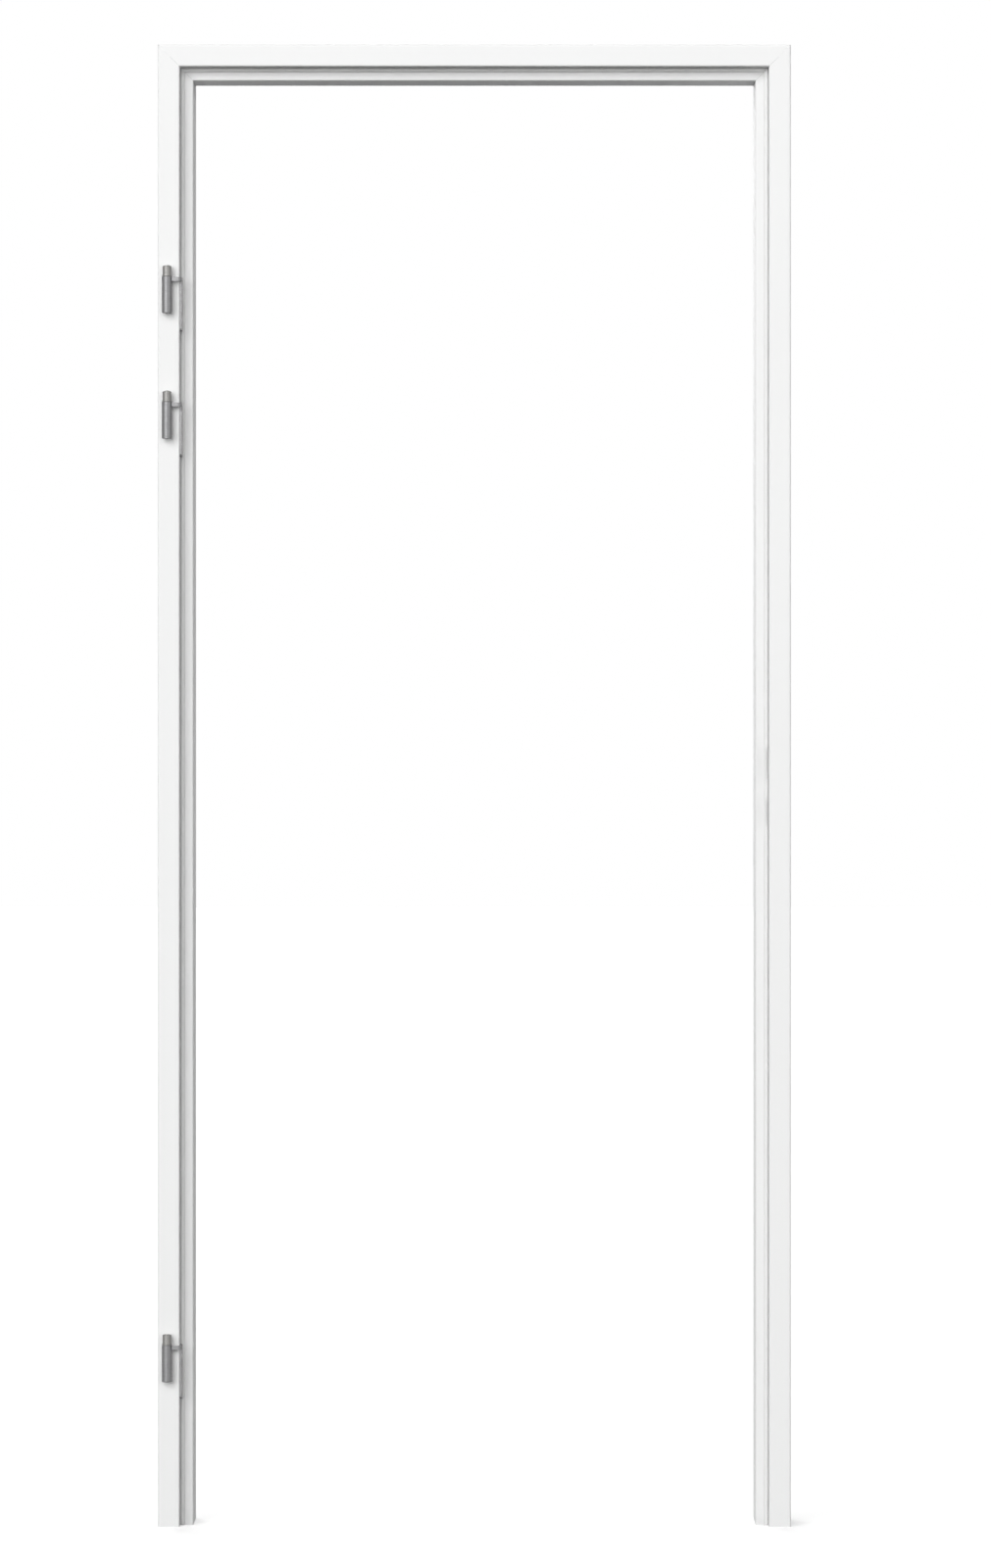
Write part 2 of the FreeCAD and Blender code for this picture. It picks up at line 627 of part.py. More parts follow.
def build_pieces():
    """Every piece of the frame by its name."""
    pieces = {
        "hinge_jamb": hinge_jamb(),
        "lock_jamb": lock_jamb(),
        "head": head(),
        "head_seal": head_seal(),
        "strike_guard_box": guard_box(),
    }
    for name, place in SIDES.items():
        pieces[name + "_jamb_seal"] = jamb_seal(place)
        pieces[name + "_foot_bracket"] = foot_bracket(place)
        pieces[name + "_corner_jamb_plate"] = jamb_corner_plate(place)
        pieces[name + "_corner_head_plate"] = head_corner_plate(place)
        pieces[name + "_corner_bolts"] = corner_bolts(place)
        pieces[name + "_corner_nuts"] = corner_nuts(place)
        for level, height in tie_heights().items():
            pieces[name + "_wall_tie_" + level] = wall_tie(place, height)
    for level, centre in HINGE_CENTRES.items():
        pieces[level + "_hinge_leaf"] = hinge_leaf(centre)
        pieces[level + "_hinge_pin"] = hinge_pin(centre)
        pieces[level + "_hinge_bush"] = hinge_bush(centre)
        pieces[level + "_hinge_screws"] = hinge_screws(centre)
        pieces[level + "_hinge_reinforcement"] = hinge_reinforcement(centre)
    return pieces


os.makedirs("parts", exist_ok=True)
for piece_name, shape in build_pieces().items():
    if not shape.isValid():
        print("not a valid solid:", piece_name)
    shape.exportStep("parts/" + piece_name + ".step")
    print(piece_name, len(shape.Solids), "solid", round(shape.Volume), "mm3")
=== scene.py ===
import math

import bmesh
import bpy
from mathutils import Matrix, Vector


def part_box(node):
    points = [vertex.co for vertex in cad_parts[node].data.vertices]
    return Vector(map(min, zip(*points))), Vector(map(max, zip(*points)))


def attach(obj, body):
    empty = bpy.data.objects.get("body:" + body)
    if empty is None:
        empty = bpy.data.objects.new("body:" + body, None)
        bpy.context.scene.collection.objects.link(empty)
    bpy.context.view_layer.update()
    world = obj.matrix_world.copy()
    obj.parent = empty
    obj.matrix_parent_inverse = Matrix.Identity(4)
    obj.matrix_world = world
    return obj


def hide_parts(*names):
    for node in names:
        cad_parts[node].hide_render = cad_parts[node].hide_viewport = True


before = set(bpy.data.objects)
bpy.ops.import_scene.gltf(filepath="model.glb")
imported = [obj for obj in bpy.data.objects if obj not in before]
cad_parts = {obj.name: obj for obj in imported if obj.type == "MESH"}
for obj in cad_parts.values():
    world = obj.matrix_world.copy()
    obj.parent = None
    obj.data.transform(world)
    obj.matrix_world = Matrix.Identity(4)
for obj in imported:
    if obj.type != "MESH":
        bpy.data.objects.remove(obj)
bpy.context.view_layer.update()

# White folded steel door frame: the finish of each piece, its weld metal and screw threads,
# and a plain pale studio. All sizes are in metres. X runs across the doorway with the
# hinges at minus X, Y runs from the hinge face into the wall, and Z is up.

# Framing of the photograph, in its own pixels
PHOTO_WIDTH = 1011
PHOTO_HEIGHT = 1600
VANISHING_X = 521
VANISHING_Y = 686
FRAME_MIDDLE_X = 483.85
FRAME_MIDDLE_Y = 801.8
PIXELS_PER_METRE = 741.5
CAMERA_DISTANCE = 11.4
SENSOR = 36.0

# Light. A sun's place has no effect on its light.
AMBIENT = 0.18
SUN_PLACE = Vector((0.0, 0.0, 4.0))
KEY_DIRECTION = Vector((0.4, 1.0, -0.26))
KEY_STRENGTH = 2.98
KEY_SPREAD = math.radians(58)
RIGHT_FILL_DIRECTION = Vector((-0.9, 0.9, -0.2))
RIGHT_FILL_STRENGTH = 0.72
RIGHT_FILL_SPREAD = math.radians(45)
REAR_DIRECTION = Vector((0.2, -1.0, -0.45))
REAR_STRENGTH = 2.4
REAR_SPREAD = math.radians(45)
SOFTBOX_PLACE = Vector((-2.4, -4.2, 3.4))
SOFTBOX_AIM = Vector((0.0, 0.0, 1.3))
SOFTBOX_SIZE = 2.2
SOFTBOX_POWER = 16.0

# Floor: two pale tones to the eye, a glow of its own, and what it throws back on the frame
FLOOR_SIZE = 60.0
FLOOR_CLOUD_SIZE = 0.4
FLOOR_COLOUR = (0.86, 0.86, 0.855, 1.0)
FLOOR_CLOUD_COLOUR = (0.85, 0.85, 0.85, 1.0)
FLOOR_BOUNCE = (0.06, 0.06, 0.06, 1.0)
FLOOR_GLOW = 0.44

# Range in which most values of a noise texture lie
NOISE_LOW = 0.3
NOISE_HIGH = 0.7

# Places of the two colours and of the result on Blender's mix node
MIX_FIRST = 6
MIX_SECOND = 7
MIX_RESULT = 2

# Colours of the finishes: three values where a tone tints them, four elsewhere
COAT_WHITE = (0.895, 0.898, 0.895)
COAT_THIN = (0.70, 0.71, 0.72, 1.0)
COAT_DUST = (0.66, 0.64, 0.60, 1.0)
SEAL_GREY = (0.84, 0.84, 0.835)
SEAL_PITS = (0.50, 0.50, 0.49, 1.0)
SEAL_DUST = (0.60, 0.58, 0.54, 1.0)
HINGE_GREY = (0.17, 0.17, 0.173)
HINGE_LINES = (0.12, 0.12, 0.123, 1.0)
HINGE_RUBBED = (0.62, 0.62, 0.62, 1.0)
PIN_GREY = (0.56, 0.56, 0.55)
BUSH_GREY = (0.2, 0.198, 0.192)
BUSH_OIL = (0.12, 0.115, 0.105, 1.0)
BUSH_RUBBED = (0.58, 0.57, 0.54, 1.0)
ZINC_BLUE = (0.40, 0.43, 0.48, 1.0)
ZINC_WARM = (0.55, 0.54, 0.51, 1.0)
ZINC_SCUFFED = (0.36, 0.36, 0.36, 1.0)
STRIP_DARK = (0.41, 0.43, 0.45, 1.0)
STRIP_LIGHT = (0.62, 0.63, 0.64, 1.0)
STRIP_RUBBED = (0.74, 0.74, 0.74, 1.0)
STRIP_DUST = (0.42, 0.40, 0.37, 1.0)
GUARD_DARK = (0.055, 0.056, 0.06)
GUARD_SCUFFED = (0.14, 0.14, 0.145, 1.0)
GUARD_DUST = (0.26, 0.25, 0.23, 1.0)
WELD_BLUE = (0.20, 0.19, 0.22, 1.0)
WELD_BROWN = (0.40, 0.35, 0.29, 1.0)
WELD_SCALE = (0.09, 0.08, 0.075, 1.0)

# Sizes of the grain that one finish alone has
COAT_FLOW_SIZE = 0.0024
COAT_SPECK_SIZE = 0.0005
ZINC_GRAIN_SIZE = 0.0004
SPANGLE_SIZE = 0.005
SPANGLE_WAVER_SIZE = 0.006
SPANGLE_WAVER = 0.003
SPANGLE_FEATHER_SIZE = 0.0012

# Weld beads, laid in the inner corners of the welded pieces. The waist and the crest are
# shares of the bead's radius, and the bow a share of a ripple's length. The skew moves the
# crest along its ripple, and the bluntness keeps the ends from closing to a point.
BEAD_RADIUS = 0.0013
BEAD_RIPPLE = 0.0011
BEAD_WAIST = 0.84
BEAD_CREST = 0.12
BEAD_CREST_SKEW = 0.7
BEAD_BOW = 0.25
BEAD_SIDES = 12
BEAD_BLUNTNESS = 0.02
BEAD_END_ROOM = 0.003
BRACKET_FOLD_ROOM = 3 * BEAD_END_ROOM
RINGS_PER_RIPPLE = 6

# Corner bolts and nuts, with the sizes that the frame's own bolts have
BOLT_RADIUS = 0.003
BOLT_SEAT = 0.00315
BOLT_HEAD = 0.004
BOLT_FLATS = 0.010
BOLT_TIP = 0.002
BOLT_PITCH = 0.001
NUT_HEIGHT = 0.005

# Hinge screws. The skin is how far a threaded tip stands outside the plain one it covers.
SCREW_RADIUS = 0.0025
SCREW_PITCH = 0.0008
SCREW_SKIN = 0.0001

# Threads, and the cones that take off the corners of hexagons. The depth is a share of the
# pitch, the end face of half the width over the flats, and the chamfer of the bore's radius.
# Edges past the sharp angle stay crisp.
THREAD_DEPTH = 0.6
TURN_STEPS = 72
RINGS_PER_TURN = 8
CORNER_SLANT = math.tan(math.radians(30))
END_FACE = 0.96
BORE_CHAMFER = 0.08
SHARP_ANGLE = math.radians(35)


class Wiring:
    """Adds nodes to one node tree and joins them."""

    def __init__(self, tree):
        self.tree = tree

    def node(self, kind, **settings):
        made = self.tree.nodes.new(kind)
        for name, value in settings.items():
            setattr(made, name, value)
        return made

    def join(self, value, socket):
        """Links an output to a socket, or sets a constant on it."""
        if isinstance(value, bpy.types.NodeSocket):
            self.tree.links.new(value, socket)
        else:
            socket.default_value = value

    def maths(self, operation, *values, clamp=False):
        made = self.node("ShaderNodeMath", operation=operation, use_clamp=clamp)
        for value, socket in zip(values, made.inputs):
            self.join(value, socket)
        return made.outputs[0]

    def vector_maths(self, operation, *values):
        made = self.node("ShaderNodeVectorMath", operation=operation)
        for value, socket in zip(values, made.inputs):
            self.join(value, socket)
        return made.outputs["Value"] if operation == "DOT_PRODUCT" else made.outputs["Vector"]

    def scaled(self, vector, factor):
        """A vector or a colour times a factor."""
        made = self.node("ShaderNodeVectorMath", operation="SCALE")
        self.join(vector, made.inputs[0])
        self.join(factor, made.inputs["Scale"])
        return made.outputs["Vector"]

    def part(self, mask, share):
        """A mask at a share of its strength."""
        return self.maths("MULTIPLY", mask, share)

    def overlap(self, first, second, amount):
        """Where two masks meet, times an amount, kept between zero and one."""
        return self.maths("MULTIPLY", self.maths("MULTIPLY", first, second), amount, clamp=True)

    def spread(self, value, low, high, to_low=0.0, to_high=1.0):
        """A smooth step from one level to another as value goes from low to high."""
        made = self.node("ShaderNodeMapRange", interpolation_type="SMOOTHSTEP")
        for level, name in (
            (value, "Value"),
            (low, "From Min"),
            (high, "From Max"),
            (to_low, "To Min"),
            (to_high, "To Max"),
        ):
            self.join(level, made.inputs[name])
        return made.outputs["Result"]

    def from_noise(self, noise, to_low=0.0, to_high=1.0):
        """A smooth step between two levels over a noise's usual range."""
        return self.spread(noise, NOISE_LOW, NOISE_HIGH, to_low, to_high)

    def from_mask(self, mask, at_zero, at_one):
        """A smooth step between two levels as a mask goes from zero to one."""
        return self.spread(mask, 0.0, 1.0, at_zero, at_one)

    def blend(self, factor, first, second):
        """The first colour where the factor is zero, the second where it is one."""
        made = self.node("ShaderNodeMix", data_type="RGBA")
        self.join(factor, made.inputs["Factor"])
        self.join(first, made.inputs[MIX_FIRST])
        self.join(second, made.inputs[MIX_SECOND])
        return made.outputs[MIX_RESULT]

    def per_metre(self, size):
        """How often a size goes into a metre, for the scale of a texture."""
        if isinstance(size, bpy.types.NodeSocket):
            return self.maths("DIVIDE", 1.0, size)
        return 1 / size

    def noise(self, where, scale, detail, roughness):
        made = self.node("ShaderNodeTexNoise")
        self.join(where, made.inputs["Vector"])
        self.join(scale, made.inputs["Scale"])
        self.join(detail, made.inputs["Detail"])
        self.join(roughness, made.inputs["Roughness"])
        return made.outputs["Fac"]

    def place(self):
        """The point on the piece, in metres."""
        return self.node("ShaderNodeTexCoord").outputs["Object"]

    def effect(self, key, **values):
        """Puts a shared effect into the tree, with this material's own values."""
        made = self.node("ShaderNodeGroup")
        made.node_tree = EFFECTS[key]
        for name, value in values.items():
            self.join(value, made.inputs[name.replace("_", " ")])
        return made.outputs


def shared_effect(name, inputs, outputs):
    """An empty node group, the wiring to fill it, its input values and its result sockets."""
    group = bpy.data.node_groups.new(name, "ShaderNodeTree")
    sockets = group.interface
    for label, value in inputs.items():
        socket = sockets.new_socket(name=label, in_out="INPUT", socket_type="NodeSocketFloat")
        socket.default_value = value
    for label, kind in outputs.items():
        sockets.new_socket(name=label, in_out="OUTPUT", socket_type=kind)
    w = Wiring(group)
    values = w.node("NodeGroupInput").outputs
    results = w.node("NodeGroupOutput").inputs
    return group, w, values, results


def edge_rub_effect():
    """Mask of the outer edges, broken up as rubbing leaves it."""
    group, w, values, results = shared_effect(
        "edge rub",
        {"Width": 0.0006, "Patch Size": 0.01, "Amount": 1.0},
        {"Mask": "NodeSocketFloat"},
    )
    rounded = w.node("ShaderNodeBevel", samples=4)
    w.join(values["Width"], rounded.inputs["Radius"])
    flat = w.node("ShaderNodeNewGeometry").outputs["Normal"]
    facing = w.vector_maths("DOT_PRODUCT", rounded.outputs["Normal"], flat)
    edge = w.spread(facing, low=0.98, high=0.8)
    patches = w.noise(w.place(), w.per_metre(values["Patch Size"]), detail=4.0, roughness=0.6)
    broken = w.spread(patches, low=0.42, high=0.66)
    w.join(w.overlap(edge, broken, values["Amount"]), results["Mask"])
    return group


def settled_dust_effect():
    """Mask of fine dust on what faces up, thicker in soft patches."""
    group, w, values, results = shared_effect(
        "settled dust",
        {"Patch Size": 0.05, "Amount": 1.0},
        {"Mask": "NodeSocketFloat"},
    )
    normal = w.node("ShaderNodeNewGeometry").outputs["Normal"]
    split = w.node("ShaderNodeSeparateXYZ")
    w.join(normal, split.inputs[0])
    upward = w.spread(split.outputs["Z"], low=0.35, high=0.95)
    patches = w.noise(w.place(), w.per_metre(values["Patch Size"]), detail=5.0, roughness=0.65)
    soft = w.spread(patches, low=0.3, high=0.75, to_low=0.25)
    w.join(w.overlap(upward, soft, values["Amount"]), results["Mask"])
    return group


def cloudy_tone_effect():
    """Slow light and dark clouds: a tone round one, and the cloud itself for gloss."""
    group, w, values, results = shared_effect(
        "cloudy tone",
        {"Cloud Size": 0.15, "Depth": 0.02},
        {"Tone": "NodeSocketFloat", "Cloud": "NodeSocketFloat"},
    )
    cloud = w.noise(w.place(), w.per_metre(values["Cloud Size"]), detail=3.0, roughness=0.55)
    centred = w.maths("SUBTRACT", cloud, 0.5)
    w.join(w.maths("ADD", 1.0, w.maths("MULTIPLY", centred, values["Depth"])), results["Tone"])
    w.join(cloud, results["Cloud"])
    return group


def grain_effect():
    """Fine lines of drawn or turned metal. They run along the axes whose Across is small."""
    group, w, values, results = shared_effect(
        "metal grain",
        {"Across X": 1.0, "Across Y": 1.0, "Across Z": 1.0, "Line Width": 0.0003},
        {"Height": "NodeSocketFloat", "Tone": "NodeSocketFloat"},
    )
    stretch = w.node("ShaderNodeCombineXYZ")
    for axis in "XYZ":
        w.join(values["Across " + axis], stretch.inputs[axis])
    where = w.vector_maths("MULTIPLY", w.place(), stretch.outputs["Vector"])
    fine_scale = w.per_metre(values["Line Width"])
    coarse_scale = w.maths("MULTIPLY", fine_scale, 0.22)
    fine = w.noise(where, fine_scale, detail=3.0, roughness=0.6)
    coarse = w.noise(where, coarse_scale, detail=2.0, roughness=0.5)
    w.join(w.maths("ADD", w.part(fine, 0.7), w.part(coarse, 0.3)), results["Height"])
    w.join(w.from_noise(coarse), results["Tone"])
    return group


def pore_effect():
    """Small pits, as in pressed metal powder, moulded plastic and rubber."""
    group, w, values, results = shared_effect(
        "fine pores",
        {"Pore Size": 0.0003, "Share": 0.5},
        {"Height": "NodeSocketFloat", "Pits": "NodeSocketFloat"},
    )
    bumps = w.noise(w.place(), w.per_metre(values["Pore Size"]), detail=2.0, roughness=0.5)
    deepest = w.maths("MULTIPLY", values["Share"], 0.8)
    pits = w.spread(bumps, deepest, values["Share"], to_low=1.0, to_high=0.0)
    w.join(w.maths("SUBTRACT", bumps, w.part(pits, 0.4)), results["Height"])
    w.join(pits, results["Pits"])
    return group


EFFECTS = {
    "rub": edge_rub_effect(),
    "dust": settled_dust_effect(),
    "cloud": cloudy_tone_effect(),
    "grain": grain_effect(),
    "pores": pore_effect(),
}


def bare_material(name):
    """A material with an empty node tree, and the wiring to fill it."""
    material = bpy.data.materials.new(name)
    material.use_nodes = True
    material.node_tree.nodes.clear()
    return material, Wiring(material.node_tree)


def new_finish(name, **constants):
    """A material with its shader alone; constants are set on the shader's own sockets."""
    material, w = bare_material(name)
    shader = w.node("ShaderNodeBsdfPrincipled")
    for label, value in constants.items():
        shader.inputs[label.replace("_", " ")].default_value = value
    out = w.node("ShaderNodeOutputMaterial")
    w.join(shader.outputs["BSDF"], out.inputs["Surface"])
    return material, w, shader.inputs


def raised(w, shader, height, depth):
    """Feeds a height, in units of depth, to the shader's normal."""
    bump = w.node("ShaderNodeBump")
    w.join(height, bump.inputs["Height"])
    w.join(depth, bump.inputs["Distance"])
    w.join(bump.outputs["Normal"], shader["Normal"])


def white_coat():
    """Baked white powder coat: faint flow texture, slow tone clouds, thin on sharp edges."""
    material, w, shader = new_finish("white powder coat", Specular_IOR_Level=0.15)
    cloud = w.effect("cloud", Cloud_Size=0.22, Depth=0.03)
    dust = w.effect("dust", Patch_Size=0.03, Amount=0.2)["Mask"]
    thin = w.effect("rub", Width=0.0005, Patch_Size=0.015, Amount=0.28)["Mask"]
    flow = w.noise(w.place(), w.per_metre(COAT_FLOW_SIZE), detail=2.0, roughness=0.45)
    specks = w.noise(w.place(), w.per_metre(COAT_SPECK_SIZE), detail=1.0, roughness=0.5)
    colour = w.scaled(COAT_WHITE, cloud["Tone"])
    colour = w.blend(thin, colour, COAT_THIN)
    w.join(w.blend(dust, colour, COAT_DUST), shader["Base Color"])
    roughness = w.maths("ADD", w.from_noise(flow, 0.5, 0.6), w.part(dust, 0.5))
    w.join(roughness, shader["Roughness"])
    raised(w, shader, w.maths("ADD", flow, w.part(specks, 0.12)), depth=0.00011)
    return material


def seal_rubber():
    """Pale grey extruded seal: matt, with fine pits and a dusty bloom."""
    material, w, shader = new_finish("pale grey seal", Sheen_Weight=0.1, Sheen_Roughness=0.5)
    cloud = w.effect("cloud", Cloud_Size=0.05, Depth=0.08)
    pores = w.effect("pores", Pore_Size=0.0004, Share=0.4)
    dust = w.effect("dust", Patch_Size=0.02, Amount=0.3)["Mask"]
    colour = w.scaled(SEAL_GREY, cloud["Tone"])
    colour = w.blend(w.part(pores["Pits"], 0.25), colour, SEAL_PITS)
    w.join(w.blend(dust, colour, SEAL_DUST), shader["Base Color"])
    w.join(w.from_noise(cloud["Cloud"], 0.55, 0.7), shader["Roughness"])
    raised(w, shader, pores["Height"], depth=0.00003)
    return material


def hinge_steel():
    """Zinc coated hinge half: satin mid grey, turned lines, bright at rubbed edges."""
    material, w, shader = new_finish("satin hinge steel", Metallic=1.0)
    grain = w.effect("grain", Across_X=0.035, Across_Y=0.035, Across_Z=1.0, Line_Width=0.00018)
    cloud = w.effect("cloud", Cloud_Size=0.012, Depth=0.3)
    rub = w.effect("rub", Width=0.0004, Patch_Size=0.003, Amount=0.8)["Mask"]
    colour = w.scaled(HINGE_GREY, cloud["Tone"])
    colour = w.blend(w.part(grain["Tone"], 0.35), colour, HINGE_LINES)
    w.join(w.blend(rub, colour, HINGE_RUBBED), shader["Base Color"])
    w.join(w.from_mask(grain["Tone"], 0.34, 0.48), shader["Roughness"])
    raised(w, shader, grain["Height"], depth=0.00002)
    return material


def pin_steel():
    """Ground and polished pin, slightly oily."""
    material, w, shader = new_finish("ground pin steel", Metallic=1.0)
    grain = w.effect("grain", Across_X=0.1, Across_Y=0.1, Across_Z=1.0, Line_Width=0.0001)
    cloud = w.effect("cloud", Cloud_Size=0.006, Depth=0.25)
    w.join(w.scaled(PIN_GREY, cloud["Tone"]), shader["Base Color"])
    w.join(w.from_noise(cloud["Cloud"], 0.16, 0.3), shader["Roughness"])
    raised(w, shader, grain["Height"], depth=0.000008)
    return material


def bush_metal():
    """Sintered bearing bush: dull grey, finely porous, with darker oil in the pores."""
    material, w, shader = new_finish("sintered bush", Metallic=1.0)
    pores = w.effect("pores", Pore_Size=0.00025, Share=0.46)
    rub = w.effect("rub", Width=0.0003, Patch_Size=0.002, Amount=0.7)["Mask"]
    cloud = w.effect("cloud", Cloud_Size=0.005, Depth=0.2)
    colour = w.scaled(BUSH_GREY, cloud["Tone"])
    colour = w.blend(w.part(pores["Pits"], 0.6), colour, BUSH_OIL)
    w.join(w.blend(rub, colour, BUSH_RUBBED), shader["Base Color"])
    w.join(w.from_mask(pores["Pits"], 0.44, 0.6), shader["Roughness"])
    raised(w, shader, pores["Height"], depth=0.00003)
    return material


def fastener_zinc():
    """Bright zinc plate that goes from a faint blue to a warm cast, with scuffed corners."""
    material, w, shader = new_finish("zinc plated fasteners", Metallic=1.0)
    cloud = w.effect("cloud", Cloud_Size=0.004, Depth=0.35)
    rub = w.effect("rub", Width=0.0003, Patch_Size=0.002, Amount=0.8)["Mask"]
    colour = w.blend(cloud["Cloud"], ZINC_BLUE, ZINC_WARM)
    w.join(w.blend(rub, colour, ZINC_SCUFFED), shader["Base Color"])
    w.join(w.from_noise(cloud["Cloud"], 0.24, 0.4), shader["Roughness"])
    fine = w.noise(w.place(), w.per_metre(ZINC_GRAIN_SIZE), detail=3.0, roughness=0.5)
    raised(w, shader, fine, depth=0.00001)
    return material


def galvanised_strip():
    """Hot dip zinc on strip steel: spangles of their own tone and gloss, dusty on top."""
    material, w, shader = new_finish("galvanised strip", Metallic=1.0)
    where = w.place()
    waver = w.noise(where, w.per_metre(SPANGLE_WAVER_SIZE), detail=2.0, roughness=0.5)
    shift = w.scaled((SPANGLE_WAVER, SPANGLE_WAVER, SPANGLE_WAVER), waver)
    spangle = w.node("ShaderNodeTexVoronoi")
    w.join(w.vector_maths("ADD", where, shift), spangle.inputs["Vector"])
    w.join(w.per_metre(SPANGLE_SIZE), spangle.inputs["Scale"])
    split = w.node("ShaderNodeSeparateColor")
    w.join(spangle.outputs["Color"], split.inputs["Color"])
    feather = w.noise(where, w.per_metre(SPANGLE_FEATHER_SIZE), detail=4.0, roughness=0.7)
    tone = w.maths("ADD", w.part(split.outputs["Red"], 0.7), w.part(feather, 0.3))
    dust = w.effect("dust", Patch_Size=0.02, Amount=0.45)["Mask"]
    rub = w.effect("rub", Width=0.0005, Patch_Size=0.004, Amount=0.6)["Mask"]
    colour = w.blend(tone, STRIP_DARK, STRIP_LIGHT)
    colour = w.blend(rub, colour, STRIP_RUBBED)
    w.join(w.blend(dust, colour, STRIP_DUST), shader["Base Color"])
    w.join(w.from_mask(split.outputs["Green"], 0.3, 0.52), shader["Roughness"])
    raised(w, shader, w.maths("ADD", tone, w.part(feather, 0.2)), depth=0.00003)
    return material


def guard_plastic():
    """Dark moulded guard box: matt, with an eroded mould texture and scuffed edges."""
    material, w, shader = new_finish("moulded guard plastic")
    pores = w.effect("pores", Pore_Size=0.0006, Share=0.45)
    cloud = w.effect("cloud", Cloud_Size=0.03, Depth=0.3)
    rub = w.effect("rub", Width=0.0006, Patch_Size=0.004, Amount=0.6)["Mask"]
    dust = w.effect("dust", Patch_Size=0.01, Amount=0.5)["Mask"]
    colour = w.scaled(GUARD_DARK, cloud["Tone"])
    colour = w.blend(rub, colour, GUARD_SCUFFED)
    w.join(w.blend(dust, colour, GUARD_DUST), shader["Base Color"])
    w.join(w.from_mask(pores["Pits"], 0.5, 0.65), shader["Roughness"])
    raised(w, shader, pores["Height"], depth=0.00005)
    return material


def weld_metal():
    """Weld bead with a brown and blue heat tint and pits of dull scale."""
    material, w, shader = new_finish("weld metal", Metallic=1.0)
    cloud = w.effect("cloud", Cloud_Size=0.003, Depth=0.5)
    pores = w.effect("pores", Pore_Size=0.0004, Share=0.42)
    colour = w.blend(cloud["Cloud"], WELD_BLUE, WELD_BROWN)
    colour = w.blend(w.part(pores["Pits"], 0.7), colour, WELD_SCALE)
    w.join(colour, shader["Base Color"])
    w.join(w.from_noise(cloud["Cloud"], 0.36, 0.6), shader["Roughness"])
    raised(w, shader, pores["Height"], depth=0.00005)
    return material


FINISHES = {
    "coat": white_coat(),
    "seal": seal_rubber(),
    "hinge": hinge_steel(),
    "pin": pin_steel(),
    "bush": bush_metal(),
    "fastener": fastener_zinc(),
    "strip": galvanised_strip(),
    "guard": guard_plastic(),
    "weld": weld_metal(),
}

# Finish by the end of a node's name. The ties take the strip's, and the sheets the coat.
FINISH_BY_ENDING = {
    "_seal": "seal",
    "_hinge_leaf": "hinge",
    "_hinge_pin": "pin",
    "_hinge_bush": "bush",
    "_screws": "fastener",
    "_bolts": "fastener",
    "_nuts": "fastener",
    "_guard_box": "guard",
    "_plate": "strip",
    "_bracket": "strip",
    "_reinforcement": "strip",
}


def finish_of(node):
    """Key of the finish that a piece of the frame takes."""
    for ending, key in FINISH_BY_ENDING.items():
        if node.endswith(ending):
            return key
    return "strip" if "_wall_tie_" in node else "coat"


def dress_frame():
    for name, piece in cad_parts.items():
        piece.data.materials.clear()
        piece.data.materials.append(FINISHES[finish_of(name)])


def finished_mesh(name, bm):
    """Turns what was drawn into a mesh with its normals outwards."""
    mesh = bpy.data.meshes.new(name)
    bmesh.ops.recalc_face_normals(bm, faces=bm.faces)
    bm.to_mesh(mesh)
    bm.free()
    return mesh


def add_piece(mesh, finish):
    """A piece named as its mesh that rides on the frame, with its finish and material slot."""
    piece = bpy.data.objects.new(mesh.name, mesh)
    mesh.materials.append(FINISHES[finish])
    for face in mesh.polygons:
        face.use_smooth = True
    bpy.context.scene.collection.objects.link(piece)
    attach(piece, "root")
    return piece


def join_rings(bm, rings, closed_ends=True):
    """Skins a list of rings that all have the same number of points."""
    count = len(rings[0])
    for lower, upper in zip(rings, rings[1:]):
        for i in range(count):
            after = (i + 1) % count
            bm.faces.new((lower[i], lower[after], upper[after], upper[i]))
    if closed_ends:
        bm.faces.new(list(reversed(rings[0])))
        bm.faces.new(rings[-1])


def frame_along(start, end):
    """Matrix that puts local Z along a line, with the origin at its start."""
    turn = (end - start).to_track_quat("Z", "Y").to_matrix().to_4x4()
    return Matrix.Translation(start) @ turn


def point_round(bm, place, angle, radius, along):
    """A vertex at an angle and a radius round a local Z axis."""
    point = Vector((radius * math.cos(angle), radius * math.sin(angle), along))
    return bm.verts.new(place @ point)


def unevenness(number, seed):
    """Share of the radius by which one ripple is thicker or thinner, the same each run."""
    quick = 0.05 * math.sin(12.9 * (number + seed))
    slow = 0.03 * math.sin(4.1 * number + seed)
    return quick + slow


def lay_bead(bm, start, end, seed):
    """One run of overlapping ripples, a little uneven, with rounded ends."""
    place = frame_along(start, end)
    length = (end - start).length
    step = BEAD_RIPPLE / RINGS_PER_RIPPLE
    rings = []
    for ring in range(int(length / step) + 1):
        along = ring * step
        ripple = (along / BEAD_RIPPLE) % 1.0
        number = int(along / BEAD_RIPPLE)
        crest = BEAD_CREST * math.sin(math.pi * ripple ** BEAD_CREST_SKEW)
        radius = BEAD_RADIUS * (BEAD_WAIST + crest + unevenness(number, seed))
        to_end = min(along, length - along) / BEAD_RADIUS
        if to_end < 1.0:
            radius *= math.sqrt(max(1.0 - (1.0 - to_end) ** 2, BEAD_BLUNTNESS))
        points = []
        for side in range(BEAD_SIDES):
            angle = 2 * math.pi * side / BEAD_SIDES
            bow = BEAD_BOW * BEAD_RIPPLE * math.cos(angle)
            points.append(point_round(bm, place, angle, radius, along + bow))
        rings.append(points)
    join_rings(bm, rings)


